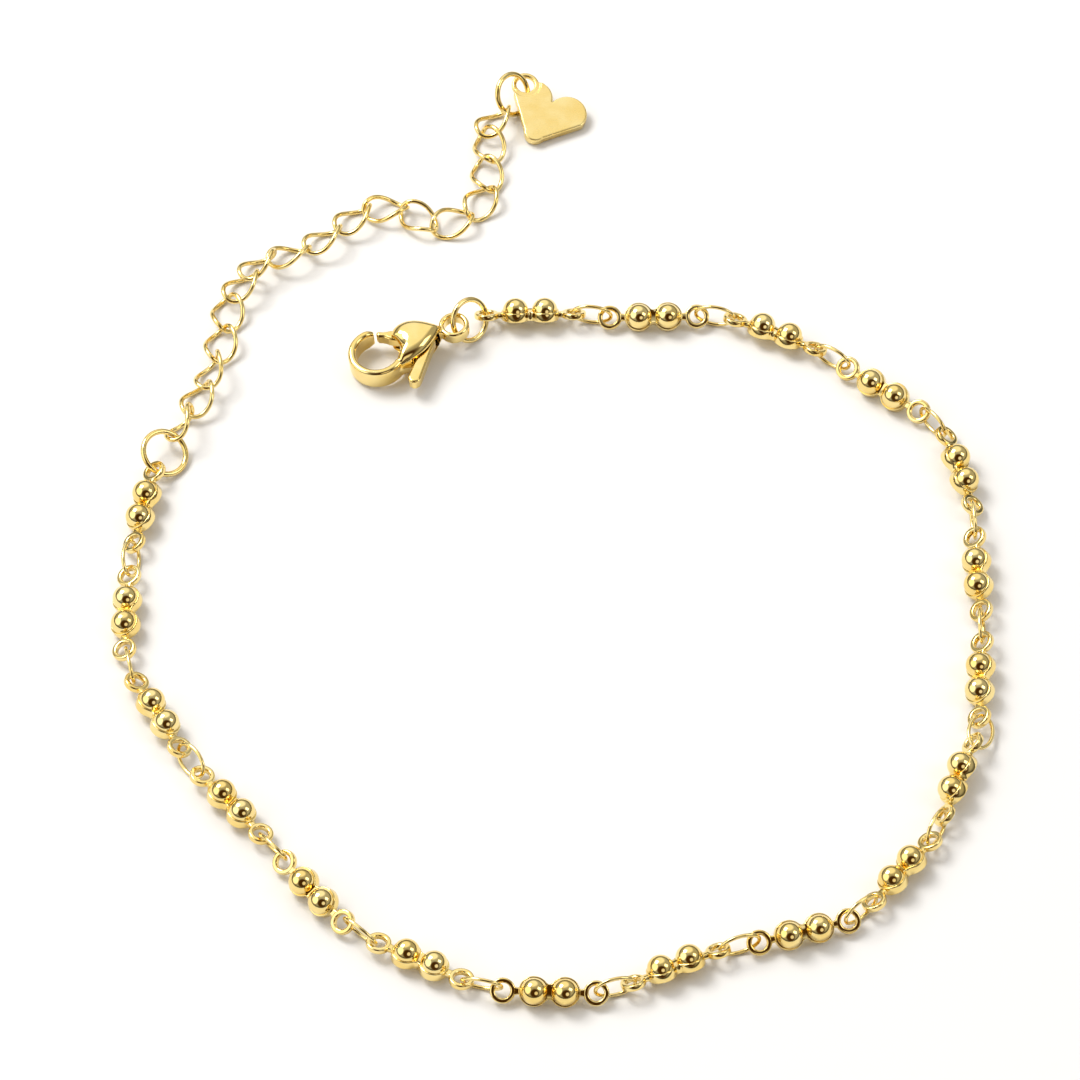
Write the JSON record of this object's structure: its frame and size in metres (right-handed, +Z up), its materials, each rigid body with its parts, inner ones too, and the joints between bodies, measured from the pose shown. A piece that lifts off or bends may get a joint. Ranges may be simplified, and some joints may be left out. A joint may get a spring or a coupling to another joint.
{
  "type": "anklet",
  "caption": "Gold-coloured metal anklet of two-bead links on oval connectors, with a lobster clasp, an extender chain of twisted links and a small heart tag",
  "frame": {"origin": "middle of the bounding box on the floor, under the open loop", "axes": "+Y from the bottom of the loop to the heart tag along the longest extent, +Z up through the thin lying piece, +X to the right with the heart tag at the far end"},
  "size_m": [0.0788, 0.1034, 0.0037],
  "materials": {
    "polished_gold": "highly polished warm gold plating on steel"
  },
  "bodies": {
    "anklet": {"bead_link_01": "polished_gold", "bead_link_02": "polished_gold", "bead_link_03": "polished_gold", "bead_link_04": "polished_gold", "bead_link_05": "polished_gold", "bead_link_06": "polished_gold", "bead_link_07": "polished_gold", "bead_link_08": "polished_gold", "bead_link_09": "polished_gold", "bead_link_10": "polished_gold", "bead_link_11": "polished_gold", "bead_link_12": "polished_gold", "bead_link_13": "polished_gold", "bead_link_14": "polished_gold", "bead_link_15": "polished_gold", "bead_link_16": "polished_gold", "bead_link_17": "polished_gold", "bead_link_18": "polished_gold", "clasp_body": "polished_gold", "clasp_jump_ring": "polished_gold", "connector_01": "polished_gold", "connector_02": "polished_gold", "connector_03": "polished_gold", "connector_04": "polished_gold", "connector_05": "polished_gold", "connector_06": "polished_gold", "connector_07": "polished_gold", "connector_08": "polished_gold", "connector_09": "polished_gold", "connector_10": "polished_gold", "connector_11": "polished_gold", "connector_12": "polished_gold", "connector_13": "polished_gold", "connector_14": "polished_gold", "connector_15": "polished_gold", "connector_16": "polished_gold", "connector_17": "polished_gold", "extender_chain": "polished_gold", "extender_jump_ring": "polished_gold", "heart_tag": "polished_gold", "tag_jump_ring": "polished_gold"},
    "lever": {"clasp_lever": "polished_gold"}
  },
  "joints": [
    {"name": "clasp_lever", "type": "hinge", "parent": "anklet", "child": "lever", "pos_m": [-0.01155, 0.01974, 0.00182], "axis": [-0.0803, -0.0339, 0.9962], "range_deg": [0, 22], "stiffness_Nm_per_rad": 0.01, "springref_deg": -17.19}
  ]
}
